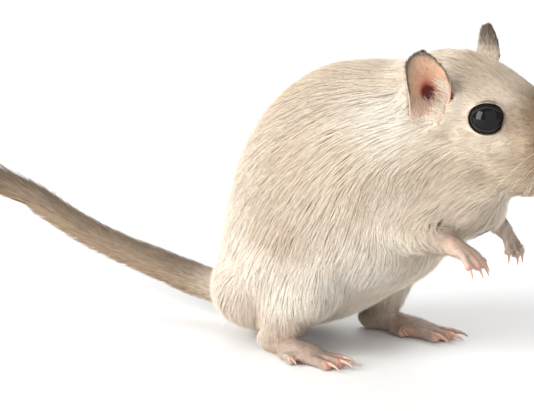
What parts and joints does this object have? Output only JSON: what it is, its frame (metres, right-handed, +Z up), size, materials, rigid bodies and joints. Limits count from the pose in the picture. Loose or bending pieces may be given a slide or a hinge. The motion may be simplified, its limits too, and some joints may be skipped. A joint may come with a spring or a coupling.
{
  "type": "gerbil",
  "caption": "Life-size still model of a cream-coated gerbil sitting up on its hind feet, forepaws held at the chest and its tail stretched out behind.",
  "frame": {"origin": "on the floor under the middle of the bounding box", "axes": "+X the way the animal faces, +Y to its left, +Z up"},
  "size_m": [0.198, 0.0454, 0.0735],
  "materials": {
    "coat": "short soft cream fur",
    "tail": "short grey-brown fur, longer at the end",
    "skin": "pink skin under thin hair",
    "ear": "thin skin, fine down",
    "claw": "satin horn",
    "eye": "wet gloss black"
  },
  "bodies": {
    "root": {"ear_left": "ear", "ear_right": "ear", "eye_left": "eye", "eye_right": "eye", "fore_claw_left_1": "claw", "fore_claw_left_2": "claw", "fore_claw_left_3": "claw", "fore_claw_left_4": "claw", "fore_claw_right_1": "claw", "fore_claw_right_2": "claw", "fore_claw_right_3": "claw", "fore_claw_right_4": "claw", "foreleg_left": "coat", "foreleg_right": "coat", "forepaw_left": "skin", "forepaw_right": "skin", "head": "coat", "hind_claw_left_1": "claw", "hind_claw_left_2": "claw", "hind_claw_left_3": "claw", "hind_claw_left_4": "claw", "hind_claw_left_5": "claw", "hind_claw_right_1": "claw", "hind_claw_right_2": "claw", "hind_claw_right_3": "claw", "hind_claw_right_4": "claw", "hind_claw_right_5": "claw", "hind_foot_left": "skin", "hind_foot_right": "skin", "neck": "coat", "shank_left": "coat", "shank_right": "coat", "tail_base": "tail", "tail_middle": "tail", "tail_tuft": "tail", "thigh_left": "coat", "thigh_right": "coat", "torso": "coat"}
  },
  "joints": []
}
